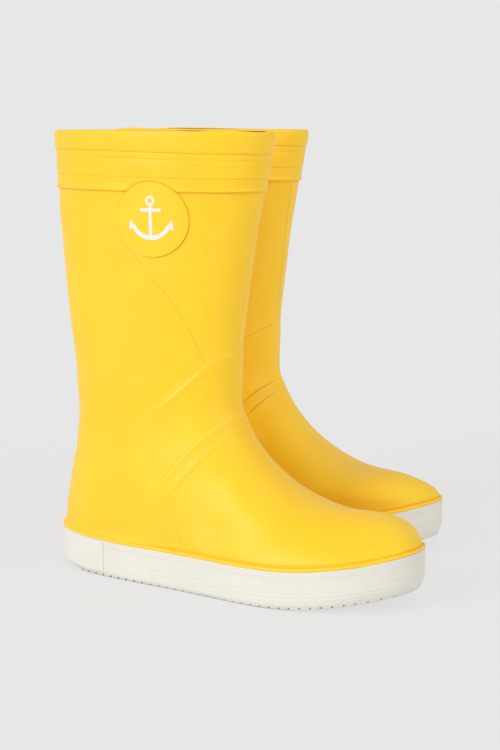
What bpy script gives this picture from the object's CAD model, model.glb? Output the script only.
"""A pair of yellow rubber boots with white soles, side by side on a pale studio floor.

Each boot is shaped in millimetres in its own flat space: x runs from heel (0) to toe (300),
y to the outer side of the foot and z up. place() lifts the toe and sets the boot in the row
frame (metres), where the toes point to -Y and the right boot stands on the -X side.
"""
import bpy
import math
import numpy as np
from mathutils import Matrix, Vector
from mathutils.geometry import delaunay_2d_cdt


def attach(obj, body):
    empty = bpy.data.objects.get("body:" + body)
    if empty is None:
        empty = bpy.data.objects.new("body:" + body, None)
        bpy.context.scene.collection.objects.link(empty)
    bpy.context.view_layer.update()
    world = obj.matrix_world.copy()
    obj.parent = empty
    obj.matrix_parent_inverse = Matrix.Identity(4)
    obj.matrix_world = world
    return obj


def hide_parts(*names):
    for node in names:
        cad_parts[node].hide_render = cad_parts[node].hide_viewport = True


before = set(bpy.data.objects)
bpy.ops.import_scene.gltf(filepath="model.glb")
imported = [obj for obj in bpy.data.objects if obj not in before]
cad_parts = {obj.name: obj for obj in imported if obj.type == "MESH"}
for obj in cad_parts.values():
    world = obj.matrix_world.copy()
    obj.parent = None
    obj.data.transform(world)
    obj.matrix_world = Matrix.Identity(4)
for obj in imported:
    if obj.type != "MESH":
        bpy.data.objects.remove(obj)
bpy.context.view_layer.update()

# ------------------------------------------------------------------ measured shape (mm)
SOLE_LENGTH = 300.0
TOE_SPRING, SPRING_START = 13.7, 195.0     # lift of the toe tip, and where the lift begins
UPPER_BASE = 30.6                          # height where the upper meets the sole
UPPER_HEEL, UPPER_LENGTH, UPPER_WIDTH = 3.5, 293.0, 0.93     # its width is a share of the sole's

# share of the sole's length, half width on the outer side, half width on the inner side
SOLE_OUTLINE = np.array([
    [0, 0, 0], [.02, 12.2, 15], [.06, 22.4, 26], [.12, 30.9, 33.5], [.22, 37.4, 36],
    [.36, 42.1, 34.5], [.5, 47.7, 35.5], [.62, 52.9, 43], [.72, 53.6, 51], [.82, 48.3, 50],
    [.9, 38.7, 43.0], [.955, 26.9, 31.8], [.99, 13.0, 15.8], [1.0, 0, 0]])
# back of the boot: z, x
BACK = [
    [30.6, 3.6], [45, 4.8], [60, 7.2], [80, 10.9], [100, 14.6], [125, 17.5], [150, 16.9],
    [190, 11.6], [230, 7.4], [260, 4.6], [286, 2.6], [310, 1.9], [331, 1.3]]
# top of the toe, instep and shin: x, z
RIDGE = np.array([
    [296.5, 30.6], [293.6, 37.3], [288.0, 45.0], [280.6, 50.8], [269.5, 55.6], [255.3, 58.6],
    [239.0, 61.0], [221.9, 65.4], [205, 72.7], [188.8, 82.9], [174.4, 96.0], [161.8, 112.2],
    [153.2, 131.1], [152.7, 152.6], [154.3, 179.6], [158.7, 210.3], [163.1, 240.3],
    [167.5, 265.1], [171.8, 285.9], [176.2, 312], [178.6, 331]])
# the foot's top line carried on up and back from the 11th ridge point: x, z
ARCH_ON = [[158, 114], [140, 134], [118, 158], [92, 186], [60, 220], [20, 262], [-40, 322]]
# half width of the leg: z, half width
LEG_HALF = [[105, 37.0], [160, 39.6], [220, 41.8], [288.8, 43.6], [317.4, 44.3], [331, 44.4]]
# edges and ribs of the laid-up rubber in side view: x, z
LAID_LINES = {
    # from the back of the leg forward and down to the shin
    "ridge_a": [[-60, 283], [13, 276], [42, 269], [62, 261], [79, 251], [92, 242], [103, 230],
                [112, 220], [123, 205], [132, 186], [139, 166], [150, 128]],
    # up over the ankle to the shin
    "ridge_b": [[60, 60], [84, 105], [102, 129], [112, 137], [124, 148], [133, 157],
                [140, 164], [148, 169], [154, 173], [175, 180]],
    # the upper and the lower rib across the instep
    "ridge_c": [[97, 60], [102.4, 66.7], [107.6, 73.3], [113.7, 81.1], [118.7, 88.3],
                [125, 95], [132.1, 102.9], [137.1, 109.5], [142.2, 114.3], [146.6, 119.1],
                [151.2, 122.7], [155.5, 127.6], [161, 134]],
    "ridge_d": [[103.5, 56.5], [112.2, 67.8], [118.5, 74.7], [124.1, 80.8], [135.1, 92.2],
                [143.8, 101.5], [148.9, 107.4], [153.5, 113], [160, 120.5]],
    # round the heel, then down to the sole
    "ridge_e": [[-60, 80], [5, 85], [22, 86.5], [34, 86.8], [53, 82.3], [65, 79.5],
                [73.4, 75.6], [83, 71.5], [93, 67.6], [101.4, 63], [108, 58.9], [114.4, 54],
                [120.3, 48.4], [125.4, 42.5], [128.6, 37], [131, 30], [133, 20]],
}
CREASE = [[24, 103.5], [40, 104.5], [66, 108]]     # behind the ankle: x, z
MEDAL_X, MEDAL_Z, MEDAL_RADIUS = 106.5, 269.0, 27.3
# joint down the front of the leg: z, distance to the inner side of the shin
SEAM = np.array([
    [150, -3.5], [177, -2.19], [202, -0.18], [222.5, 0.44], [242, 1.15], [263, 3.30],
    [275.5, 4.04], [288, 4.72], [331, 6.5]])
# lean to the inner side, of the leg (z, lean) and of the top of the foot (x, lean)
LEAN_LEG = [[80, 0], [125, 1.6], [180, 2.2], [250, 3.0], [331, 3.0]]
LEAN_FOOT = [[125, 0], [165, 4.6], [200, 3.6], [235, 5.0], [262, 8.2], [285, 8.2], [300, 5.0]]
LEAN_BACK = 0.567     # share of the lean that also goes towards the heel
# flattening of the toe: x, drop
TOE_DROP = [[150, 0], [180, 0.7], [210, 0.7], [240, 1.2], [265, 1.2], [285, 0.9], [300, 0]]


# ------------------------------------------------------------------ curves
def ease(start, end, x):
    """Smooth step from 0 at start to 1 at end; start may be the larger."""
    t = np.clip((x - start) / (end - start), 0, 1)
    return t * t * (3 - 2 * t)


def hump(x, centre, width):
    return np.exp(-((x - centre) / width) ** 2)


def smooth_curve(table):
    """Monotone cubic through (place, value) rows, held level beyond its ends."""
    place_at, value = np.asarray(table, float).T
    step = np.diff(place_at)
    rate = np.diff(value) / step
    slope = np.zeros_like(value)
    for i in range(1, len(step)):
        if rate[i - 1] * rate[i] > 0:
            before = 2 * step[i] + step[i - 1]
            after = step[i] + 2 * step[i - 1]
            slope[i] = (before + after) / (before / rate[i - 1] + after / rate[i])
    slope[0], slope[-1] = rate[0], rate[-1]

    def curve(x):
        x = np.clip(x, place_at[0], place_at[-1])
        i = np.clip(np.searchsorted(place_at, x, side="right") - 1, 0, len(step) - 1)
        width = step[i]
        t = (x - place_at[i]) / width
        return (value[i] * (1 + 2 * t) * (1 - t) ** 2 + slope[i] * width * t * (1 - t) ** 2
                + value[i + 1] * t * t * (3 - 2 * t) + slope[i + 1] * width * t * t * (t - 1))
    return curve


def width_ratio(half_widths):
    """Half width over a sine arch, against angle: this stays smooth at heel and toe."""
    angle = np.arccos(1 - 2 * SOLE_OUTLINE[:, 0])
    arch = np.sin(angle)
    arch[0] = arch[-1] = 1
    ratio = half_widths / arch
    ratio[0], ratio[-1] = ratio[1], ratio[-2]
    return smooth_curve(np.stack([angle, ratio], -1))


def dense(points, steps=24):
    """Catmull-Rom curve through (x, z) points, with z always rising."""
    points = np.asarray(points, float)
    ends = np.vstack([2 * points[0] - points[1], points, 2 * points[-1] - points[-2]])
    t = np.linspace(0, 1, steps, endpoint=False)[:, None]
    out = []
    for before, start, end, after in zip(ends, ends[1:], ends[2:], ends[3:]):
        out.append(0.5 * ((2 * start) + (-before + end) * t
                          + (2 * before - 5 * start + 4 * end - after) * t * t
                          + (-before + 3 * start - 3 * end + after) * t ** 3))
    out = np.vstack(out + [points[-1:]])
    out[:, 1] = np.maximum.accumulate(out[:, 1] + np.arange(len(out)) * 1e-7)
    return out


outer_ratio, inner_ratio = width_ratio(SOLE_OUTLINE[:, 1]), width_ratio(SOLE_OUTLINE[:, 2])
back_x, leg_half = smooth_curve(BACK), smooth_curve(LEG_HALF)
lean_leg, lean_foot, toe_drop = map(smooth_curve, (LEAN_LEG, LEAN_FOOT, TOE_DROP))
RIDGE_CURVE = dense(RIDGE)
ARCH_CURVE = dense(np.vstack([RIDGE[:11], ARCH_ON]))


def front_x(z):
    return np.interp(z, RIDGE_CURVE[:, 1], RIDGE_CURVE[:, 0])


def arch_x(z):
    return np.interp(z, ARCH_CURVE[:, 1], ARCH_CURVE[:, 0])


def arch_z(x):
    return np.interp(-x, -ARCH_CURVE[:, 0], ARCH_CURVE[:, 1])


def toe_lift(x):
    share = (x - SPRING_START) / (SOLE_LENGTH - SPRING_START)
    return TOE_SPRING * np.where(x > SPRING_START, share ** 2, 0)


def sole_half(share, outer):
    angle = np.arccos(np.clip(1 - 2 * np.clip(share, 0, 1), -1, 1))
    return np.where(outer, outer_ratio(angle), inner_ratio(angle)) * np.sin(angle)


# ------------------------------------------------------------------ boot surface
# A place on it is an angle (0 at the heel, pi at the toe, the outer side between them),
# a height z and an offset outward.
def lean(points):
    x, y, z = np.moveaxis(points, -1, 0)
    leg = ease(75, 125, z)
    shift = lean_leg(z) * leg + lean_foot(x) * (1 - leg) * ease(30, 52, z)
    drop = toe_drop(x) * ease(30, 56, z) * (1 - ease(75, 115, z))
    return np.stack([x - LEAN_BACK * shift, y - shift, z - drop], -1)


def upright(angle, z):
    """The skin before it leans; the laid-up lines are drawn on this."""
    angle, z = np.broadcast_arrays(np.asarray(angle, float), np.asarray(z, float))
    level = np.maximum(z, UPPER_BASE)
    back, front = back_x(level), front_x(level)
    x = back + (front - back) * (1 - np.cos(angle)) / 2
    sine = np.sin(angle)
    leg = ease(75, 145, level)
    # under the foot's top line a section narrows as it nears that line
    top = arch_z(x - front + arch_x(level))
    rise = np.clip((level - UPPER_BASE) / np.maximum(top - UPPER_BASE, 1e-6), 0, 1)
    arch = np.sqrt(np.clip(1 - rise ** 2.3, 0, 1))
    sole_x = x - (back - UPPER_HEEL) * ease(90, 0, x - back)
    foot_half = UPPER_WIDTH * sole_half((sole_x - UPPER_HEEL) / UPPER_LENGTH, sine >= 0)
    half = (1 - leg) * foot_half * arch + leg * leg_half(level) * np.abs(sine)
    return np.stack([x, np.where(sine >= 0, half, -half), z], -1)


def leaning(angle, z):
    return lean(upright(angle, z))


def normal(angle, z):
    round_it = leaning(angle + 2e-3, z) - leaning(angle - 2e-3, z)
    up_it = leaning(angle, z + 0.05) - leaning(angle, z - 0.05)
    out = np.cross(up_it, round_it)
    return out / np.maximum(np.linalg.norm(out, axis=-1, keepdims=True), 1e-12)


def skin(angle, z, offset):
    angle, z, offset = np.broadcast_arrays(angle, z, np.asarray(offset, float))
    return leaning(angle, z) + normal(angle, z) * offset[..., None]


def on_side(x, z, offset):
    """A point of the outer side, found by its x and z."""
    back, front = back_x(z), front_x(z)
    angle = np.arccos(np.clip(1 - 2 * (x - back) / (front - back), -1, 1))
    return skin(angle, z, offset)


def sole_x_at(angle):
    return SOLE_LENGTH / 2 * (1 - np.cos(angle))


def sole_at(angle, z, offset):
    """A point at a distance outside the sole's outline."""
    angle, z, offset = np.broadcast_arrays(
        np.asarray(angle, float), np.asarray(z, float), np.asarray(offset, float))

    def outline(turn):
        sine = np.sin(turn)
        share = (1 - np.cos(turn)) / 2
        half = sole_half(share, sine >= 0)
        return np.stack([share * SOLE_LENGTH, np.where(sine >= 0, 1, -1) * half], -1)
    point = outline(angle)
    along = outline(angle + 1e-3) - outline(angle - 1e-3)
    along /= np.linalg.norm(along, axis=-1, keepdims=True)
    return np.stack([point[..., 0] - along[..., 1] * offset,
                     point[..., 1] + along[..., 0] * offset, z], -1)


# ------------------------------------------------------------------ placing a boot in the row
# row x and y of the boot's middle (mm), turn about the vertical
BOOT_AT = {"right": (-79.805, -28.164, 0.0), "left": (80.995, 26.236, math.radians(-1.45))}


def settle(x, y, z, side):
    """Small hand-made departures from level: the sole's edge, collar bands and top rim."""
    heel_lip = 2.0 * ease(85, 5, x) * hump(z, 29.5, 6.0)
    if side == "right":
        band = np.interp(z, [286, 299.3, 312, 317.5, 331], [0, 0.75, 1, 1, 0])
        rim = (0.10 + 0.45 * ease(5, 70, x) - 0.50 * hump(x, 137, 7.5)) * ease(0, 26, y)
        rim -= 0.85 * hump(x, 175, 8.0) * ease(-6, 6, y)
        return heel_lip - 2.4 * ease(15, 175, x) * band + rim * ease(305, 331, z)
    band = np.interp(z, [255, 286, 300, 317.5, 331], [0, 1, 1, 0.35, 0])
    rim = (0.55 - 0.5 * hump(x, 62, 9.0)) * ease(0, -26, y)
    rim += -0.15 - 0.70 * ease(40, 110, x) - 1.6 * ease(34, 6, x)
    return heel_lip + 1.5 * band + rim * ease(300, 331, z)


def place(points, side):
    x, y, z = np.moveaxis(points, -1, 0)
    z = z + settle(x, y, z, side)
    row_x, row_y, yaw = BOOT_AT[side]
    across = -y if side == "right" else y
    ahead = SOLE_LENGTH / 2 - x
    cosine, sine = math.cos(yaw), math.sin(yaw)
    return np.stack([row_x + across * cosine - ahead * sine,
                     row_y + across * sine + ahead * cosine, z + toe_lift(x)], -1) / 1000.0


# ------------------------------------------------------------------ meshes
def make(name, mesh, side, material, replaces, body="boot", sharp=None, attributes=None):
    """Object from (verts in boot space, faces, one uv pair per face corner or None)."""
    verts, faces, uv = mesh
    turn = -1 if side == "right" else 1     # the right boot is mirrored
    data = bpy.data.meshes.new(f"{side}_{name}")
    data.from_pydata(place(np.asarray(verts, float), side).tolist(), [],
                     [tuple(face[::turn]) for face in faces])
    if uv is not None:
        pairs = [pair for corners in uv for pair in corners[::turn]]
        layer = data.uv_layers.new(name="UVMap")
        layer.data.foreach_set("uv", np.asarray(pairs, np.float32).ravel())
    for key, values in (attributes or {}).items():
        attribute = data.attributes.new(key, "FLOAT", "POINT")
        attribute.data.foreach_set("value", np.asarray(values, np.float32).ravel())
    data.validate()
    data.update()
    data.shade_smooth()
    if sharp:
        data.set_sharp_from_angle(angle=math.radians(sharp))
    piece = bpy.data.objects.new(f"{side}_{name}", data)
    bpy.context.scene.collection.objects.link(piece)
    data.materials.append(material)
    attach(piece, f"{side}_{body}")
    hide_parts(*[f"{side}_{part}" for part in replaces])


def outward(verts, faces, uv=None):
    """The mesh, with every face flipped if the solid is inside out."""
    verts = np.asarray(verts, float)
    triangles = np.array([(face[0], face[k], face[k + 1])
                          for face in faces for k in range(1, len(face) - 1)])
    one, two, three = (verts[triangles[:, k]] for k in range(3))
    if np.einsum("ij,ij->", one, np.cross(two, three)) <= 0:
        faces = [tuple(face[::-1]) for face in faces]
        uv = uv and [corners[::-1] for corners in uv]
    return verts, faces, uv


def ring_quads(ring_count, count, closed=False):
    """Quads between neighbouring rings of count points; closed joins the last to the first."""
    quads = []
    for i in range(ring_count if closed else ring_count - 1):
        this, other = i * count, (i + 1) % ring_count * count
        for j in range(count):
            k = (j + 1) % count
            quads.append((this + j, this + k, other + k, other + j))
    return quads


def loft(rings, closed, uvs=None):
    """Solid over rings, closed on itself or capped by strips joining point j to point N-j.

    uvs is the u of each column (one more than the points) and the v of each ring.
    """
    rings = np.asarray(rings)
    ring_count, count = rings.shape[:2]
    faces = ring_quads(ring_count, count, closed)
    uv = None
    if uvs is not None:
        u, v = uvs
        uv = [[(u[j], v[i]), (u[j + 1], v[i]), (u[j + 1], v[i + 1]), (u[j], v[i + 1])]
              for i in range(ring_count - 1) for j in range(count)]
    if not closed:
        half = count // 2
        strip = [(0, 1, count - 1)]
        strip += [(j, j + 1, count - j - 1, count - j) for j in range(1, half - 1)]
        strip += [(half - 1, half, half + 1)]
        for row, turn in ((0, -1), (ring_count - 1, 1)):
            for face in strip:
                faces.append(tuple(row * count + j for j in face)[::turn])
                if uv is not None:
                    uv.append([tuple(rings[row, j, :2] / 1000.0) for j in face][::turn])
    return outward(rings.reshape(-1, 3), faces, uv)


# ------------------------------------------------------------------ relief of the laid-up rubber
SHEET = 0.30     # height of the plain rubber over the base skin


def line_distance(points, x, z):
    """Signed distance to a polyline (positive on its right), run along it, its length."""
    points = np.asarray(points, float)
    nearest = np.full(x.shape, 1e9)
    signed, run = np.zeros(x.shape), np.zeros(x.shape)
    length = 0.0
    for start, end in zip(points[:-1], points[1:]):
        step = end - start
        size = np.hypot(*step)
        step = step / size
        t = np.clip((x - start[0]) * step[0] + (z - start[1]) * step[1], 0, size)
        off_x, off_z = x - start[0] - t * step[0], z - start[1] - t * step[1]
        distance = np.hypot(off_x, off_z)
        turn = -(step[0] * off_z - step[1] * off_x)
        closer = distance < nearest - 1e-9
        nearest = np.where(closer, distance, nearest)
        signed = np.where(closer, np.sign(turn) * distance, signed)
        run = np.where(closer, length + t, run)
        length += size
    return signed, run, length


def ridges(points):
    """Signed distance (mm) to each laid-up edge or rib, and how strong it is there."""
    x, _, z = np.moveaxis(points, -1, 0)
    (off_a, run_a, end_a), (off_b, run_b, end_b), (off_c, run_c, end_c), \
        (off_d, run_d, end_d), (off_e, run_e, _) = (
            line_distance(line, x, z) for line in LAID_LINES.values())
    strength_b = ((0.45 + 0.55 * ease(128, 142, x)) * ease(70, 96, run_b)
                  * (1 - 0.45 * ease(112, 128, run_b)) * ease(end_b + 6, end_b - 4, run_b))
    return {
        # a soft rib just beside the middle of edge b
        "ridge_g": (off_b - 0.9, ease(104, 118, x) * ease(139, 131, x)),
        "ridge_b": (off_b, strength_b),
        "ridge_a": (off_a, (0.50 + 0.50 * ease(70, 120, run_a)) * ease(1.5, -6, off_b)
                    * ease(end_a + 4, end_a - 10, run_a)),
        "ridge_c": (off_c, ease(4, 22, run_c) * (1 - 0.45 * ease(72, 92, run_c))
                    * ease(end_c + 3, end_c - 9, run_c)),
        "ridge_d": (off_d, 0.9 * ease(4, 24, run_d) * (1 - 0.60 * ease(64, 84, run_d))
                    * ease(end_d + 3, end_d - 9, run_d)),
        "ridge_e": (off_e, (0.35 + 0.65 * ease(100, 150, run_e)) * ease(64, 90, run_e)),
    }


def laid_edge(off, height, half, keep, tail):
    """A step up over 2 * half, sinking over the tail to the kept share of its height."""
    return height * ease(-half, half, off) * (
        keep + (1 - keep) * np.exp(-np.maximum(off, 0) / tail))


def bead(off, height, rise, fall):
    return height * np.where(off < rise, ease(-rise, rise, off),
                             np.exp(-np.maximum(off - rise, 0) / fall))


def relief(points):
    """Height of the visible surface over the base skin."""
    x, y, z = np.moveaxis(points, -1, 0)
    lines = ridges(points)
    height = SHEET + laid_edge(lines["ridge_a"][0], height=0.42, half=2.4, keep=0.4, tail=30)
    off, strength = lines["ridge_b"]
    half = 1.7 + 16 * (1 - strength) ** 2
    height = np.maximum(
        height, SHEET + laid_edge(off, height=0.85, half=half, keep=0.45, tail=26))
    # a soft rib follows the middle of that edge
    height = height + 0.55 * hump(off, 1.2, 3.2) * ease(104, 120, x) * ease(152, 136, x)
    off, strength = lines["ridge_c"]
    height = height + bead(off, height=0.95, rise=2.0, fall=4.2) * strength
    off, strength = lines["ridge_d"]
    height = height + bead(off, height=0.90, rise=2.0, fall=5.0) * strength
    off, strength = lines["ridge_e"]
    half = 1.8 + 5.0 * (1 - strength)
    height = np.maximum(height, SHEET + (0.92 - 0.50 * strength) * ease(-half, half, off))
    # a faint crease behind the ankle
    off, run, end = line_distance(CREASE, x, z)
    height = height + 0.22 * hump(off, 0, 1.5) * ease(0, 8, run) * ease(end, end - 12, run)
    # hand-laid unevenness
    height = height + 0.07 * np.sin(x / 11.3 + 1.7 * np.sin(z / 23.0)) * np.sin(
        z / 17.1 + y / 19.0)
    return height + 0.05 * np.sin(z / 8.7 + x / 13.0 + y / 9.0)


def upper_levels(count):
    """Heights spaced evenly along the front ridge."""
    steps = np.linalg.norm(np.diff(RIDGE_CURVE, axis=0), axis=1)
    run = np.concatenate([[0], np.cumsum(steps)])
    levels = np.interp(np.linspace(0, run[-1], count), run, RIDGE_CURVE[:, 1])
    levels[-1] = RIDGE[-1, 1]
    return levels


# ------------------------------------------------------------------ materials
class Shader:
    """A material and short calls for its nodes. Distances are in metres."""

    def __init__(self, name):
        self.material = bpy.data.materials.new(name)
        self.material.use_nodes = True
        self.tree = self.material.node_tree
        self.coords = self.add("ShaderNodeTexCoord").outputs

    def feed(self, socket, value):
        """Link a socket, or set a number, vector or colour (given without alpha)."""
        if isinstance(value, bpy.types.NodeSocket):
            self.tree.links.new(value, socket)
        elif value is not None:
            socket.default_value = (*value, 1) if socket.type == "RGBA" else value

    def feed_all(self, node, inputs):
        for key, value in inputs.items():
            self.feed(node.inputs[key.replace("_", " ")], value)

    def add(self, kind, **inputs):
        node = self.tree.nodes.new(kind)
        self.feed_all(node, inputs)
        return node

    def mapped(self, scale, rotation=(0, 0, 0)):
        return self.add("ShaderNodeMapping", Scale=scale, Rotation=rotation,
                        Vector=self.coords["Object"]).outputs["Vector"]

    def noise(self, scale, detail=2, rough=0.5, distort=0.0, vector=None):
        return self.add("ShaderNodeTexNoise", Scale=scale, Detail=detail, Roughness=rough,
                        Distortion=distort,
                        Vector=vector or self.coords["Object"]).outputs["Fac"]

    def cells(self, scale):
        return self.add("ShaderNodeTexVoronoi", Scale=scale,
                        Vector=self.coords["Object"]).outputs["Distance"]

    def attribute(self, name):
        node = self.add("ShaderNodeAttribute")
        node.attribute_name = name
        return node.outputs["Fac"]

    def openness(self, distance):
        node = self.add("ShaderNodeAmbientOcclusion", Distance=distance)
        node.samples = 6
        return node.outputs["AO"]

    def ramp(self, value, stops):
        """Grey ramp through (position, brightness) stops."""
        node = self.add("ShaderNodeValToRGB", Fac=value)
        elements = node.color_ramp.elements
        while len(elements) < len(stops):
            elements.new(0.5)
        for element, (position, grey) in zip(elements, stops):
            element.position = position
            element.color = (grey, grey, grey, 1)
        return node.outputs["Color"]

    def rise(self, value, low, high):
        return self.ramp(value, [(low, 0.0), (high, 1.0)])

    def fall(self, value, low, high):
        return self.ramp(value, [(low, 1.0), (high, 0.0)])

    def peak(self, value, low, at, high):
        return self.ramp(value, [(low, 0.0), (at, 1.0), (high, 0.0)])

    def math(self, operation, first, second=None, clamp=False):
        node = self.add("ShaderNodeMath")
        node.operation = operation
        node.use_clamp = clamp
        self.feed(node.inputs[0], first)
        self.feed(node.inputs[1], second)
        return node.outputs[0]

    def times(self, first, second):
        return self.math("MULTIPLY", first, second)

    def plus(self, first, second):
        return self.math("ADD", first, second)

    def minus(self, first, second):
        return self.math("SUBTRACT", first, second)

    def mix(self, mask, first, second):
        node = self.add("ShaderNodeMix")
        node.data_type = "RGBA"
        for index, value in ((0, mask), (6, first), (7, second)):     # factor, colours A and B
            self.feed(node.inputs[index], value)
        return node.outputs[2]

    def tint(self, colour, target, mask, amount):
        return self.mix(self.times(mask, amount), colour, target)

    def bump(self, height, strength, distance, normal=None):
        return self.add("ShaderNodeBump", Strength=strength, Distance=distance,
                        Height=height, Normal=normal).outputs["Normal"]

    def finish(self, **inputs):
        self.feed_all(self.tree.nodes["Principled BSDF"], inputs)
        return self.material


LINE_WINDOW = 14.0     # mm across a line covered by the profiles below, with the line at 0.5
STEP = [(0.0, 0.5), (0.28, 0.5), (0.42, 0.40), (0.455, 0.36), (0.50, 0.58), (0.54, 0.86),
        (0.58, 0.90), (0.72, 0.66), (0.90, 0.52), (1.0, 0.5)]
RIB = [(0.0, 0.0), (0.38, 0.0), (0.43, 0.08), (0.48, 0.62), (0.53, 1.0), (0.58, 0.90),
       (0.68, 0.40), (0.84, 0.08), (1.0, 0.0)]
GROOVE = [(0.0, 0.5), (0.45, 0.5), (0.48, 0.42), (0.495, 0.05), (0.505, 0.05), (0.52, 0.42),
          (0.55, 0.58), (0.60, 0.5), (1.0, 0.5)]
# attribute, profile, bump distance, bright crest's place and strength,
# dark foot's place, strength and half width
LINE_LOOKS = (
    ("ridge_a", STEP, 0.00060, 0.55, 0.0, 0.475, 0.55, 0.055),
    ("ridge_b", STEP, 0.00070, 0.54, 0.20, 0.58, 0.10, 0.055),
    ("ridge_e", STEP, 0.00046, 0.55, 0.12, 0.485, 0.62, 0.075),
    ("ridge_g", RIB, 0.00046, 0.52, 0.42, 0.90, 0.0, 0.055),
    ("ridge_c", RIB, 0.00052, 0.55, 0.34, 0.38, 0.06, 0.055),
    ("ridge_d", RIB, 0.00050, 0.55, 0.34, 0.76, 0.08, 0.055),
    ("seam", GROOVE, 0.00042, 0.57, 0.18, 0.50, 0.72, 0.055),
)


def darker(colour, share):
    return tuple(share * channel for channel in colour)


def draw_lines(mat, colour, normal, deep, pale):
    """Relief, dark foot and bright crest of every laid-up line and of the shin joint."""
    inner = mat.attribute("inner_side")
    for key, profile, depth, crest_at, crest_amount, foot_at, foot_amount, width in LINE_LOOKS:
        across = mat.math("ADD", mat.times(mat.attribute(key), 1 / LINE_WINDOW), 0.5, clamp=True)
        strength = mat.attribute(key + "_on")
        height = mat.ramp(across, profile)
        if profile is not RIB:
            height = mat.minus(height, 0.5)
        normal = mat.bump(mat.times(height, strength), strength=1.0, distance=depth,
                          normal=normal)
        foot = mat.times(
            mat.peak(across, low=foot_at - width, at=foot_at, high=foot_at + width), strength)
        if key in ("ridge_b", "ridge_c", "ridge_d"):     # shaded on the inner side instead
            shade = mat.times(mat.peak(across, low=0.42, at=0.48, high=0.56), strength)
            foot = mat.times(foot, mat.minus(1.0, inner))
            colour = mat.tint(colour, darker(deep, 0.80), mat.times(shade, inner), amount=0.75)
        foot_colour = darker(deep, 0.86) if key == "seam" else deep
        colour = mat.tint(colour, foot_colour, foot, foot_amount)
        if crest_amount:
            before, after = (0.13, 0.15) if profile is RIB else (0.06, 0.09)
            shown = mat.times(mat.minus(1.0, mat.times(inner, 0.8)), strength)
            crest = mat.peak(across, low=crest_at - before, at=crest_at, high=crest_at + after)
            colour = mat.tint(colour, pale, mat.times(crest, shown), crest_amount)
    return colour, normal


def rubber(name, base, deep, pale, rough, bloom=0.25, specular=0.42, cavity=0.45, ridged=False):
    """Moulded rubber: soft mottling, deeper crevices, a faint pale bloom and a fine grain."""
    mat = Shader(name)
    cloud = mat.rise(mat.noise(scale=24, detail=3, rough=0.55), low=0.30, high=0.72)
    colour = mat.tint(base, deep, cloud, amount=0.16)
    patches = mat.rise(mat.noise(scale=60, detail=4, rough=0.65, distort=0.6),
                       low=0.50, high=0.76)
    colour = mat.tint(colour, pale, patches, amount=bloom * 0.5)
    crevice = mat.fall(mat.openness(distance=0.006), low=0.20, high=0.80)
    colour = mat.tint(colour, deep, crevice, amount=cavity)
    # the boots colour each other where they stand close
    near = mat.fall(mat.openness(distance=0.11), low=0.25, high=0.82)
    colour = mat.tint(colour, (0.80, 0.33, 0.001), near, amount=0.65 if ridged else 0.0)
    pointiness = mat.add("ShaderNodeNewGeometry").outputs["Pointiness"]
    colour = mat.tint(colour, pale, mat.rise(pointiness, low=0.515, high=0.60), amount=0.08)
    grain = mat.rise(mat.noise(scale=420, detail=3, rough=0.6), low=0.36, high=0.66)
    colour = mat.tint(colour, deep, grain, amount=0.05)
    # sparse specks of bloom and long faint rub marks
    speck = mat.fall(mat.cells(scale=210), low=0.0, high=0.045)
    speck = mat.times(speck, mat.rise(mat.noise(scale=90), low=0.55, high=0.7))
    colour = mat.tint(colour, pale, speck, amount=0.30)
    streaks = mat.mapped(scale=(70, 70, 900), rotation=(0.5, 0.35, 0.0))
    rub = mat.rise(mat.noise(scale=1.0, detail=4, rough=0.7, vector=streaks),
                   low=0.60, high=0.72)
    sheen = mat.rise(mat.noise(scale=75, detail=4, rough=0.6), low=0.3, high=0.75)
    roughness = mat.plus(mat.times(sheen, rough[1] - rough[0]), rough[0])
    roughness = mat.plus(roughness, mat.times(rub, 0.05))
    normal = mat.bump(mat.noise(scale=48), strength=0.06, distance=0.0012)
    if ridged:
        colour, normal = draw_lines(mat, colour, normal, deep, pale)
    normal = mat.bump(mat.noise(scale=1500, detail=3, rough=0.6), strength=0.14,
                      distance=0.00012, normal=normal)
    normal = mat.bump(mat.cells(scale=2600), strength=0.10, distance=0.00006, normal=normal)
    return mat.finish(Base_Color=colour, Roughness=roughness, Normal=normal,
                      Specular_IOR_Level=specular)


def yellow(name, base, **looks):
    return rubber(name, base, deep=(0.90, 0.42, 0.004), pale=(0.97, 0.73, 0.09), **looks)


def tread_material():
    mat = Shader("tread_rubber")
    cloud = mat.rise(mat.noise(scale=38, detail=4, rough=0.6), low=0.3, high=0.72)
    colour = mat.mix(cloud, (0.71, 0.685, 0.62), (0.65, 0.62, 0.55))
    dust = mat.rise(mat.noise(scale=160, detail=5, rough=0.7), low=0.52, high=0.70)
    colour = mat.tint(colour, (0.50, 0.47, 0.41), dust, amount=0.22)
    crevice = mat.fall(mat.openness(distance=0.0025), low=0.15, high=0.75)
    colour = mat.tint(colour, (0.20, 0.19, 0.17), crevice, amount=0.60)
    roughness = mat.ramp(mat.noise(scale=120, detail=3), [(0.3, 0.62), (0.7, 0.80)])
    normal = mat.bump(mat.noise(scale=1100, detail=3, rough=0.6), strength=0.25,
                      distance=0.00015)
    return mat.finish(Base_Color=colour, Roughness=roughness, Normal=normal,
                      Specular_IOR_Level=0.3)


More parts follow.
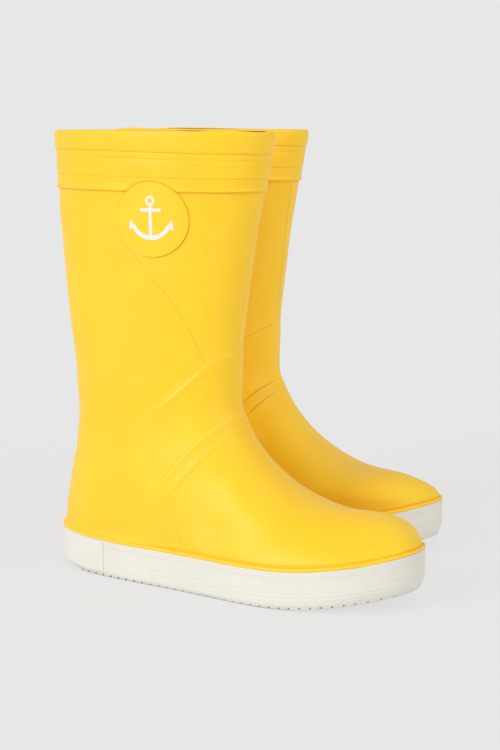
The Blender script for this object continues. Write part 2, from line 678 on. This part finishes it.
def knit_material(name, dark, light, pitch):
    """Plain knit: rows of V-shaped stitches from sines of the cloth's own u and v."""
    mat = Shader(name)
    cloth = mat.add("ShaderNodeSeparateXYZ", Vector=mat.coords["UV"]).outputs
    waves = 2 * math.pi / pitch
    across = mat.times(cloth[0], waves)
    along = mat.times(cloth[1], waves * 0.72)     # stitches are longer than they are wide
    slant = mat.math("ABSOLUTE", mat.math("SINE", mat.times(across, 0.5)))
    row = mat.math("SINE", mat.plus(along, mat.times(slant, 2.4)))
    column = mat.math("SINE", mat.plus(across, 0.6))
    stitch = mat.plus(mat.times(row, 0.5), mat.times(column, 0.5))
    fuzz = mat.noise(scale=2600, detail=4, rough=0.7)
    fuzzy = mat.plus(stitch, mat.times(fuzz, 0.8))
    colour = mat.mix(mat.rise(fuzzy, low=0.0, high=1.0), dark, light)
    patches = mat.rise(mat.noise(scale=45, detail=4, rough=0.6), low=0.35, high=0.7)
    colour = mat.tint(colour, dark, patches, amount=0.35)
    normal = mat.bump(stitch, strength=0.6, distance=0.0004)
    normal = mat.bump(fuzz, strength=0.5, distance=0.0002, normal=normal)
    return mat.finish(Base_Color=colour, Normal=normal, Roughness=0.92,
                      Specular_IOR_Level=0.15, Sheen_Weight=0.5, Sheen_Roughness=0.5)


def board_material():
    mat = Shader("fibreboard")
    colour = mat.mix(mat.noise(scale=300, detail=5, rough=0.7),
                     (0.42, 0.32, 0.2), (0.58, 0.47, 0.33))
    fibres = mat.noise(scale=1.0, detail=3, rough=0.6, vector=mat.mapped(scale=(900, 60, 900)))
    colour = mat.mix(mat.ramp(fibres, [(0.45, 0.0), (0.7, 0.6)]), colour, (0.3, 0.23, 0.15))
    roughness = mat.ramp(mat.noise(scale=200, detail=3), [(0.3, 0.75), (0.7, 0.92)])
    normal = mat.bump(mat.noise(scale=1200, detail=4, rough=0.7), strength=0.4,
                      distance=0.0002)
    return mat.finish(Base_Color=colour, Roughness=roughness, Normal=normal)


def filler_material():
    mat = Shader("sponge_rubber")
    cells = mat.cells(scale=900)
    colour = mat.mix(mat.rise(cells, low=0.1, high=0.5), (0.4, 0.37, 0.31), (0.64, 0.6, 0.52))
    return mat.finish(Base_Color=colour, Roughness=mat.ramp(cells, [(0.1, 0.95), (0.6, 0.8)]),
                      Normal=mat.bump(cells, strength=0.6, distance=0.0004))


mat_yellow = yellow("yellow_rubber", (0.955, 0.605, 0.012), rough=(0.40, 0.52), cavity=0.30,
                    ridged=True)
mat_collar = yellow("yellow_collar_rubber", (0.955, 0.600, 0.013), rough=(0.38, 0.50),
                    cavity=0.30)
mat_welt = yellow("yellow_welt_rubber", (0.955, 0.605, 0.012), rough=(0.38, 0.50), bloom=0.15,
                  cavity=0.28)
mat_medal = yellow("medallion_rubber", (0.955, 0.615, 0.016), rough=(0.33, 0.44), bloom=0.12,
                   cavity=0.4)
mat_white = rubber("white_sidewall_rubber", (0.745, 0.725, 0.655), deep=(0.57, 0.53, 0.45),
                   pale=(0.79, 0.775, 0.73), rough=(0.56, 0.72), bloom=0.45, specular=0.35,
                   cavity=0.35)
mat_patch = rubber("white_heel_rubber", (0.765, 0.745, 0.68), deep=(0.50, 0.46, 0.38),
                   pale=(0.80, 0.785, 0.74), rough=(0.52, 0.66), bloom=0.4, specular=0.36,
                   cavity=0.75)
mat_print = rubber("white_print", (0.80, 0.79, 0.74), deep=(0.70, 0.66, 0.56),
                   pale=(0.84, 0.83, 0.80), rough=(0.42, 0.55), bloom=0.3)
mat_tread = tread_material()
mat_lining = knit_material("lining_knit", dark=(0.035, 0.031, 0.027),
                           light=(0.16, 0.145, 0.125), pitch=0.0016)
mat_footbed = knit_material("footbed_knit", dark=(0.05, 0.047, 0.043),
                            light=(0.20, 0.185, 0.165), pitch=0.0021)
mat_board, mat_filler = board_material(), filler_material()


def full_turn(count):
    return np.linspace(0, 2 * math.pi, count, endpoint=False)


def profile_run(profile):
    """Distance along a profile, in metres."""
    steps = np.diff(np.asarray(profile, float), axis=0)
    return np.concatenate([[0], np.cumsum(np.hypot(*steps.T))]) / 1000.0


ANGLES = full_turn(400)
LEVEL_COUNT = 214
FLARE_TOP = 39.0     # below this the upper flares out to the lip of the sole
FLARE_LEVELS = [38.0, 37.0, 36.0, 35.0, 34.2, 33.5, 32.9, 32.3, 31.8, 31.4, 31.0, 30.7, 30.4,
                30.2, 30.0, 29.8]
SHELL_INSIDE = -1.8
# down inside the sole, in under the foot and back out
SHELL_UNDER = [(29.3, -0.5), (27.0, -0.6), (16.0, -0.6), (12.2, -0.7), (12.0, -2.0),
               (12.0, -13.5), (12.6, -14.2), (13.4, -14.2), (14.0, -13.5), (14.0, SHELL_INSIDE)]
SHELL_RIM = [(329.6, SHELL_INSIDE), (330.45, -1.3), (330.5, -0.4)]
FAR = 40.0     # distance stored where no line is near


def build_upper(side):
    levels = upper_levels(LEVEL_COUNT)[::-1]
    levels = levels[(levels < 329.6) & (levels > FLARE_TOP)]
    angle, level = np.meshgrid(ANGLES, np.concatenate([[330.4], levels, FLARE_LEVELS]))
    base = upright(angle, level)
    x, y, _ = np.moveaxis(base, -1, 0)
    height = relief(base)
    height = np.where(level > 292, np.minimum(height, SHEET), height)
    # the flare is wide round the heel and tight round the toe
    back = 1 - ease(60, 130, x)
    flare = (0.75 + 1.0 * back) * np.clip((FLARE_TOP - level) / 9.2, 0, 1) ** 2.4
    flare -= 0.26 * (1 - 0.9 * back) * hump(level, 30.4, 0.6)
    outer = lean(base) + normal(angle, level) * (height + flare)[..., None]
    inside = np.concatenate([[22.0], upper_levels(15)])
    hidden = SHELL_UNDER + [(z, SHELL_INSIDE) for z in inside if z < 329.0] + SHELL_RIM
    rings = np.concatenate([outer, [skin(ANGLES, z, offset) for z, offset in hidden]])

    def with_hidden(values, rest):
        return np.concatenate([values, np.full((len(hidden), len(ANGLES)), rest)])
    attributes = {"inner_side": with_hidden(ease(2, -10, y) * (level < 286), 0.0)}
    stronger_inside = 1 + 0.3 * ease(4, -8, y)
    for key, (off, strength) in ridges(base).items():
        strength = strength * stronger_inside * (level < 288) * (level > 31.5)
        attributes[key] = with_hidden(np.clip(off, -FAR, FAR), FAR)
        attributes[key + "_on"] = with_hidden(strength, 0.0)
    # the joint down the front of the leg, fainter on the right boot
    shin = x > 110
    gap = np.where(shin, y + np.interp(level, SEAM[:, 0], SEAM[:, 1]), FAR)
    seam_on = (0.35 if side == "right" else 1.0) * shin * ease(174, 177, level)
    attributes["seam"] = with_hidden(np.clip(gap, -FAR, FAR), FAR)
    attributes["seam_on"] = with_hidden(seam_on * ease(289, 286, level), 0.0)
    make("upper_shell", loft(rings, True), side, mat_yellow,
         ["upper", "heel_counter", "vamp_reinforcement", "ankle_reinforcement", "rear_stay"],
         attributes=attributes)


COLLAR_BANDS = {
    "collar_top_band": [
        (317.5, 0.42), (317.48, 1.4), (317.52, 1.62), (317.7, 1.86), (318.05, 2.06),
        (318.7, 2.24), (319.8, 2.36), (321.5, 2.42), (324, 2.46), (327.6, 2.46), (329.1, 2.38),
        (330.1, 2.14), (330.75, 1.7), (331.1, 1.1), (331.2, 0.4), (331.2, -0.6),
        (331.05, -1.3), (330.75, -1.72), (330.58, -1.5), (330.56, 0.0), (330.5, 0.42)],
    "collar_middle_band": [
        (299.3, 0.42), (299.28, 1.1), (299.36, 1.26), (299.6, 1.38), (300.2, 1.46), (304, 1.5),
        (309, 1.5), (311.7, 1.46), (312.2, 1.36), (312.55, 1.22), (312.9, 1.34), (313.3, 1.50),
        (313.9, 1.58), (315.6, 1.58), (316.6, 1.54), (317.2, 1.46), (317.44, 1.36),
        (317.46, 0.42)],
    "collar_lower_band": [
        (288.7, 0.42), (288.62, 1.0), (288.68, 1.5), (288.95, 1.92), (289.4, 2.14),
        (289.95, 2.2), (290.5, 2.06), (291.0, 1.72), (291.5, 1.42), (292.1, 1.26),
        (293.0, 1.2), (295, 1.2), (298.2, 1.2), (299.0, 1.16), (299.24, 1.08),
        (299.26, 0.42)],
}


def subdivided(profile, step=0.7):
    fine = []
    for (z, offset), (next_z, next_offset) in zip(profile[:-1], profile[1:]):
        count = max(1, int(abs(next_z - z) / step))
        fine += [(z + (next_z - z) * i / count, offset + (next_offset - offset) * i / count)
                 for i in range(count)]
    return fine + [profile[-1]]


def build_collar(side):
    wobble = 0.04 * np.sin(7 * ANGLES + 1.3)
    for name, profile in COLLAR_BANDS.items():
        by_medal = name == "collar_lower_band"
        rings = []
        for z, offset in subdivided(profile) if by_medal else profile:
            wave = 0.05 * np.sin(3 * ANGLES + z / 7) + wobble
            wave_up, wave_out = (0.6 * wave, 0.7 * wave) if offset > 0.6 else (0, 0)
            if by_medal:     # pressed flat under the medallion
                base = upright(ANGLES, z)
                reach = np.hypot(base[..., 0] - MEDAL_X, base[..., 2] - MEDAL_Z)
                near = (np.sin(ANGLES) > 0) * ease(MEDAL_RADIUS + 1.3, MEDAL_RADIUS + 0.1, reach)
                offset = offset * (1 - near) + min(offset, 0.5) * near
            rings.append(skin(ANGLES, z + wave_up, offset + wave_out))
        make(name + "_piece", loft(rings, True), side, mat_collar, [name],
             sharp=50)


MEDAL_FACE, MEDAL_BACK = 1.92, 0.46
# share of the radius, outward offset
MEDAL_PROFILE = [
    (0.02, MEDAL_FACE), (0.12, 1.92), (0.24, 1.9), (0.36, 1.88), (0.48, 1.84), (0.6, 1.79),
    (0.7, 1.74), (0.8, 1.69), (0.88, 1.64), (0.925, 1.62), (0.945, 1.56), (0.955, 1.50),
    (0.965, 1.56), (0.978, 1.62), (0.988, 1.58), (0.996, 1.42), (1.0, 1.15), (1.0, 0.62),
    (0.998, 0.5), (0.9, MEDAL_BACK), (0.6, MEDAL_BACK), (0.3, MEDAL_BACK), (0.02, MEDAL_BACK)]


def build_medallion(side):
    count = 144
    turn = full_turn(count)
    verts = []
    for share, offset in MEDAL_PROFILE:
        radius = MEDAL_RADIUS * share
        verts += on_side(MEDAL_X + radius * np.cos(turn), MEDAL_Z + radius * np.sin(turn),
                         offset).tolist()
    face_centre, back_centre = len(verts), len(verts) + 1
    last = len(verts) - count
    verts += [on_side(MEDAL_X, MEDAL_Z, depth).tolist() for depth in (MEDAL_FACE, MEDAL_BACK)]
    faces = ring_quads(len(MEDAL_PROFILE), count)
    for j in range(count):
        k = (j + 1) % count
        faces += [(face_centre, k, j), (back_centre, last + j, last + k)]
    make("medallion_disc", outward(verts, faces), side, mat_medal,
         ["medallion"], sharp=60)


def arc(x, y, radius, start, end, count):
    turns = np.radians(np.linspace(start, end, count))
    return [(x + radius * math.cos(turn), y + radius * math.sin(turn)) for turn in turns]


ANCHOR = [
    # ring, as two halves
    arc(0, 13.2, 3.6, 0, 180, 17) + arc(0, 13.2, 1.9, 180, 0, 13),
    arc(0, 13.2, 3.6, 180, 360, 17) + arc(0, 13.2, 1.9, 360, 180, 13),
    # shank and stock
    [(-1.35, -14.6), (1.35, -14.6), (1.05, 10.4), (-1.05, 10.4)],
    arc(-7.0, 6.6, 1.25, 90, 270, 9) + arc(7.0, 6.6, 1.25, -90, 90, 9),
    # arms and the two flukes
    arc(0, 0.9, 15.8, 204, 336, 41) + arc(0, 2.7, 14.2, 331, 209, 37),
    [(-16.9, -7.8), (-10.6, -5.6), (-13.2, -3.6), (-15.7, -0.3), (-16.7, -4.0)],
    [(16.9, -7.8), (16.7, -4.0), (15.7, -0.3), (13.2, -3.6), (10.6, -5.6)],
]


def build_anchor(side):
    """A plain anchor, raised a quarter of a millimetre on the disc."""
    points, outlines = [], []
    for outline in ANCHOR:
        outlines.append(list(range(len(points), len(points) + len(outline))))
        points += [Vector(point) for point in outline]
    # a grid of points inside lets the mark follow the disc's curve
    for x in np.arange(-17, 17.1, 0.9):
        for y in np.arange(-16, 17.1, 0.9):
            points.append(Vector((x + 0.013, y + 0.017)))
    placed, _, cells, _, _, origins = delaunay_2d_cdt(points, [], outlines, 1, 1e-5, True)
    triangles = [cell for cell, origin in zip(cells, origins) if len(origin)]
    used = sorted({i for triangle in triangles for i in triangle})
    index = {old: new for new, old in enumerate(used)}
    triangles = [tuple(index[i] for i in triangle) for triangle in triangles]
    edges = dict.fromkeys(edge for triangle in triangles
                          for edge in zip(triangle, triangle[1:] + triangle[:1]))
    flat = np.array([[placed[i][0], placed[i][1]] for i in used])
    dome = 0.34 * np.clip((flat ** 2).sum(1) / MEDAL_RADIUS ** 2, 0, 1)
    top, bottom = (on_side(MEDAL_X + flat[:, 0], MEDAL_Z + flat[:, 1], 1.93 + rise - dome)
                   for rise in (0.26, -0.12))
    count = len(used)
    faces = triangles + [tuple(count + i for i in triangle[::-1]) for triangle in triangles]
    faces += [(j, i, count + i, count + j) for i, j in edges if (j, i) not in edges]
    make("medallion_anchor", outward(np.vstack([top, bottom]), faces), side,
         mat_print, ["medallion_mark"], sharp=40)


WELT_PROFILE = [
    (28.2, -1.35), (27.5, -1.1), (27.32, -0.3), (27.34, 0.10), (27.45, 0.34), (27.7, 0.52),
    (28.1, 0.60), (28.6, 0.60), (29.1, 0.52), (29.5, 0.34), (29.8, 0.06), (29.95, -0.35),
    (30.02, -0.9), (30.0, -1.6), (29.9, -2.3), (29.75, -3.1), (29.4, -3.8), (28.8, -3.6),
    (28.4, -2.4)]


def build_welt(side):
    angle = full_turn(480)
    share = (1 - np.cos(angle)) / 2
    wobble = 0.06 * np.sin(angle * 9) + 0.05 * np.sin(angle * 23 + 1)
    # drawn in at the toe, let out at the heel
    swell = wobble - 0.55 * ease(0.90, 0.99, share) + 0.10 * (1 - ease(0.05, 0.3, share))
    rings = [sole_at(angle, z + wobble * 0.8 * (offset > 0), offset + swell * (offset > 0))
             for z, offset in WELT_PROFILE]
    make("welt_lip", loft(rings, True), side, mat_welt, ["welt_bead"])


# fine grooves round the sidewall: z, depth, width
SIDE_GROOVES = ((24.7, 0.11, 0.28), (22.8, 0.26, 0.28), (21.4, 0.25, 0.28), (19.5, 0.18, 0.28),
                (11.4, 0.21, 0.30), (8.4, 0.28, 0.30), (5.3, 0.15, 0.28))
SIDE_BOTTOM = 2.3


def ground_rounding(z, x):
    """How far the sidewall draws in near the ground: most at the toe, a little at the heel."""
    def depth(reach, start, power):
        return reach * np.clip((start - z) / start, 0, 1) ** power
    toe, heel = ease(215, 290, x), 1 - ease(6, 45, x)
    return depth(1.7, 7.5, 2.4) * (1 - toe) + toe * depth(4.2, 11.0, 2.2) + heel * depth(
        1.9, 9.0, 2.0)


def side_face(z, x):
    """Outward offset of the sidewall: grooves and shallow steps, rounded in at the ground."""
    offset = 0.14 - 0.16 * ease(21.9, 21.2, z) + 0.10 * ease(11.8, 11.1, z)
    for groove_z, depth, width in SIDE_GROOVES:
        offset = offset - depth * hump(z, groove_z, width)
    return offset - ground_rounding(z, x)


def build_foxing(side):
    angle = full_turn(520)
    fine = [groove[0] + step for groove in SIDE_GROOVES
            for step in (-0.5, -0.3, -0.15, 0, 0.15, 0.3, 0.5)]
    heights = np.unique(np.round(np.concatenate(
        [np.linspace(SIDE_BOTTOM, 27.34, 30), fine, [2.5, 2.8, 3.2]]), 3))
    wobble = 0.05 * np.sin(angle * 5 + 0.7) + 0.035 * np.sin(angle * 17)
    x = sole_x_at(angle)
    low = side_face(SIDE_BOTTOM, x)
    inside = -1.4
    profile = [(z, side_face(z, x) + wobble * (0.7 + 0.3 * math.sin(z))) for z in heights]
    profile += [(27.36, inside), (20.0, inside), (10.0, inside),
                (3.6, np.minimum(low - 1.2, inside)), (2.2, low - 1.0), (2.15, low - 0.35)]
    rings = [sole_at(angle, z, offset) for z, offset in profile]
    make("foxing_sidewall", loft(rings, True), side, mat_white,
         ["foxing_band"])


def build_heel_patch(side):
    end = math.radians(52.3)
    columns = np.concatenate([
        [-end, -end + 0.0035, -end + 0.008, -end + 0.016],
        np.linspace(-end + 0.03, end - 0.03, 101),
        [end - 0.016, end - 0.008, end - 0.0035, end]])
    heights = np.concatenate([[2.55, 2.8, 3.3], np.linspace(4.2, 25.4, 22), [25.9, 26.3, 26.6]])
    end_thinning = (0.10, 0.62, 0.86, 0.96)     # share of the thickness, from the end inward
    edge = ease(26.65, 25.9, heights) * ease(2.4, 3.4, heights)
    count = 2 * len(heights)
    rings = []
    for j, angle in enumerate(columns):
        from_end = min(j, len(columns) - 1 - j)
        thin = end_thinning[from_end] if from_end < len(end_thinning) else 1.0
        x = sole_x_at(angle)
        front = 0.12 - ground_rounding(heights, x) + 0.78 * thin * edge
        front += 0.05 * np.sin(heights / 2.3 + 4 * angle)
        back = np.minimum(side_face(heights, x) - 0.5, front - 0.3)
        rings.append(sole_at(angle, np.concatenate([heights, heights[::-1]]),
                             np.concatenate([front, back[::-1]])))
    faces = ring_quads(len(columns), count)
    for base, turn in ((0, -1), ((len(columns) - 1) * count, 1)):
        for j in range(count // 2 - 1):
            faces.append((base + j, base + j + 1, base + count - 2 - j,
                          base + count - 1 - j)[::turn])
    make("heel_patch_piece", outward(np.array(rings).reshape(-1, 3), faces), side,
         mat_patch, ["heel_patch"], sharp=50)


def build_outsole(side):
    """Tread slab, with notches cut up into its lower edge."""
    pitch, half = 7.6, 0.74
    notches = np.arange(34.0, 297, pitch)
    steps = np.array([-half - 0.12, -half, 0, half, half + 0.12, 2.2, 4.1])
    stations = np.unique(np.round(np.concatenate([
        [0.0, 0.15, 0.5, 1.0, 1.6, 2.3], (notches[:, None] + steps).ravel(),
        [298.4, 299.0, 299.5, 299.85, SOLE_LENGTH]]), 4))
    near = np.min(np.abs(stations[:, None] - notches[None]), axis=1)
    cut = np.where(near <= half + 1e-6, 1.30 + 0.34 * np.cos((stations - 62) / 29.0), 0.0)
    outer = np.arccos(np.clip(1 - 2 * stations / SOLE_LENGTH, -1, 1))
    angle = np.concatenate([outer, (2 * math.pi - outer[::-1])[1:-1]])
    cut = np.concatenate([cut, cut[::-1][1:-1]])
    edge = side_face(SIDE_BOTTOM, sole_x_at(angle))
    # z, distance inside the sidewall's lower edge
    profile = [(cut, 1.25), (np.maximum(cut, 0.10) + 0.02, 0.95),
               (np.maximum(cut + 0.05, 0.40), 0.66), (np.maximum(cut + 0.10, 0.85), 0.42),
               (1.95, 0.16), (2.2, 0.12), (2.5, 0.45), (3.3, 1.25)]
    rings = [sole_at(angle, z, edge - inset) for z, inset in profile]
    make("outsole_tread", loft(rings, False), side, mat_tread, ["outsole"], sharp=35)


LINING_RIM = [(330.0, -2.3), (330.25, -2.7), (330.1, -3.2), (329.4, -3.6), (327.2, -3.68),
              (326.6, -3.5), (326.0, -3.7)]
LINING_FOOT = [(26, -3.7), (22, -3.75), (19.4, -4.0), (18.5, -4.6), (18.15, -5.6)]


def build_lining(side):
    angle = full_turn(256)
    levels = upper_levels(110)
    levels = levels[levels < 328.5]
    outer = [(16.8, -2.6), (17.6, -2.15), (24, -2.1)] + [(z, -2.1) for z in levels[::3]]
    outer += [(329.4, -2.1)]
    inner = [(z, -3.7) for z in levels[levels < 325][::-1]] + LINING_FOOT
    profile = outer + LINING_RIM + inner
    # a raised line up the back
    back_line = 0.30 * hump(np.abs(np.angle(np.exp(1j * angle))), 0, 0.018)
    rings = []
    for i, (z, offset) in enumerate(profile):
        if i > len(outer) + 5:     # the inner face is slightly rumpled
            level = leaning(angle, z)[:, 2]
            offset = offset + back_line + 0.16 * np.sin(level / 13 + 3 * angle) * np.sin(
                5 * angle + level / 31)
        rings.append(skin(angle, z, offset))
    u = np.append(angle, 2 * math.pi) / (2 * math.pi) * 0.44     # 0.44 m of cloth round the leg
    make("lining_sock", loft(rings, False, (u, profile_run(profile))), side,
         mat_lining, ["lining"])


# z, distance in from the edge
FOOTBED_PROFILE = [
    (18.45, 1.2), (18.4, 0.4), (18.8, 0.0), (22.4, 0.0), (23.2, 0.35), (23.45, 0.9),
    (23.4, 1.6), (22.9, 3.2), (22.4, 6.0), (22.05, 10.0), (21.95, 16.0)]
FOOTBED_HEEL, FOOTBED_TOE = 12.5, 286


def build_footbed(side):
    count = 200
    edge_x, edge_y, _ = skin(full_turn(count), 20.0, -5.4).T
    stretch = (FOOTBED_TOE - FOOTBED_HEEL) / (edge_x.max() - edge_x.min())
    edge_x = FOOTBED_HEEL + (edge_x - edge_x.min()) * stretch
    middle = SOLE_LENGTH / 2
    rings = []
    for i, (z, inset) in enumerate(FOOTBED_PROFILE):
        x = middle + (edge_x - middle) * (1 - inset / 137.0)
        y = edge_y * (1 - inset / 45.0)
        height = np.full(count, z)
        if i >= 4:     # the upper face rises towards the inner side under the arch
            arch = 2.4 * hump(x, 118, 42) * ease(4, -28, y)
            height += arch * (0.35 if inset < 3 else 0.6) * max(0, 1 - inset / 17)
        rings.append(np.stack([x, y, height], -1))
    uvs = np.linspace(0, 0.62, count + 1), profile_run(FOOTBED_PROFILE)
    make("footbed_insole", loft(rings, False, uvs), side, mat_footbed, ["footbed"],
         body="footbed")


for side in ("right", "left"):
    for build in (build_upper, build_collar, build_medallion, build_anchor, build_welt,
                  build_foxing, build_heel_patch, build_outsole, build_lining, build_footbed):
        build(side)
    for part, material in (("insole_board", mat_board), ("midsole_filler", mat_filler)):
        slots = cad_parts[f"{side}_{part}"].data.materials
        slots.clear()
        slots.append(material)

# ------------------------------------------------------------------ studio
scene = bpy.context.scene
BACKDROP = (0.795, 0.799, 0.800)     # what the camera sees behind the boots
AMBIENT_GREY, AMBIENT = 0.80, 0.84
FLOOR_GREY, FLOOR_GLOW = 0.80, 0.80     # floor brightness, and the share it gives off itself
# name, direction towards the light, strength, angular size (degrees), colour
SUNS = (
    ("key", (-0.86, 0.36, 0.37), 1.44, 36, (1.0, 0.99, 0.97)),
    ("fill", (-0.37, -0.95, 0.28), 0.72, 60, (1, 1, 1)),
    ("top", (0.25, -0.40, 0.88), 0.14, 50, (1, 1, 1)),
)


def build_world():
    """Even grey light on the boots, with the backdrop's own grey behind them."""
    world = bpy.data.worlds.new("studio")
    scene.world = world
    world.use_nodes = True
    nodes, link = world.node_tree.nodes, world.node_tree.links.new
    seen = nodes["Background"]
    light = nodes.new("ShaderNodeBackground")
    for node, colour, strength in ((light, (AMBIENT_GREY,) * 3, AMBIENT), (seen, BACKDROP, 1.0)):
        node.inputs["Color"].default_value = (*colour, 1)
        node.inputs["Strength"].default_value = strength
    path, mix = nodes.new("ShaderNodeLightPath"), nodes.new("ShaderNodeMixShader")
    link(path.outputs["Is Camera Ray"], mix.inputs["Fac"])
    link(light.outputs[0], mix.inputs[1])
    link(seen.outputs[0], mix.inputs[2])
    link(mix.outputs[0], nodes["World Output"].inputs["Surface"])


def build_suns():
    for name, direction, strength, size, colour in SUNS:
        light = bpy.data.lights.new(name, "SUN")
        light.energy = strength
        light.angle = math.radians(size)
        light.color = colour
        sun = bpy.data.objects.new(name, light)
        scene.collection.objects.link(sun)
        aim = Vector(direction).normalized().to_track_quat("Z", "Y")
        sun.rotation_euler = aim.to_euler()


def floor_material():
    """Pale paper that gives off part of its light, so that the shadows stay faint."""
    mat = Shader("floor_paper")
    from_suns = sum(strength * Vector(direction).normalized().z
                    for _, direction, strength, _, _ in SUNS)
    received = AMBIENT_GREY * AMBIENT + from_suns / math.pi
    grey = FLOOR_GREY * (1 - FLOOR_GLOW) / received
    colour = mat.mix(mat.noise(scale=6, detail=3), (grey * 0.996,) * 3, (grey * 1.004,) * 3)
    normal = mat.bump(mat.noise(scale=300, detail=3), strength=0.03, distance=0.0005)
    return mat.finish(Base_Color=colour, Normal=normal, Roughness=0.95, Specular_IOR_Level=0.0,
                      Emission_Color=BACKDROP, Emission_Strength=FLOOR_GLOW)


def build_floor():
    half = 14.0
    data = bpy.data.meshes.new("floor")
    corners = [(-half, -half, 0), (half, -half, 0), (half, half, 0), (-half, half, 0)]
    data.from_pydata(corners, [], [(0, 1, 2, 3)])
    floor = bpy.data.objects.new("floor", data)
    scene.collection.objects.link(floor)
    data.materials.append(floor_material())


def build_camera():
    # the camera's place in the right boot's space (mm), its heading from +X and its dip
    x, y, z = 801.647, 1124.8125, 347.018
    heading, dip = math.radians(29.5634471548644), math.radians(8.41074752)
    row_x, row_y, _ = BOOT_AT["right"]
    at = Vector((row_x - y, row_y + SOLE_LENGTH / 2 - x, z)) / 1000
    ahead = Vector((math.cos(heading) * math.cos(dip), math.sin(heading) * math.cos(dip),
                    -math.sin(dip)))
    right = Vector((math.sin(heading), -math.cos(heading), 0))
    up = right.cross(ahead)
    data = bpy.data.cameras.new("camera")
    data.sensor_width = 36.0
    data.lens = 86.495352
    data.clip_start = 0.01
    data.clip_end = 100
    camera = bpy.data.objects.new("camera", data)
    scene.collection.objects.link(camera)
    scene.camera = camera
    camera.matrix_world = Matrix(
        [(right[i], up[i], -ahead[i], at[i]) for i in range(3)] + [(0, 0, 0, 1)])


build_world()
build_suns()
build_floor()
build_camera()

scene.view_settings.view_transform = "Standard"
scene.view_settings.look = "None"
scene.view_settings.exposure = 0.0
scene.view_settings.gamma = 1.0
scene.cycles.max_bounces = 10
scene.cycles.diffuse_bounces = 6
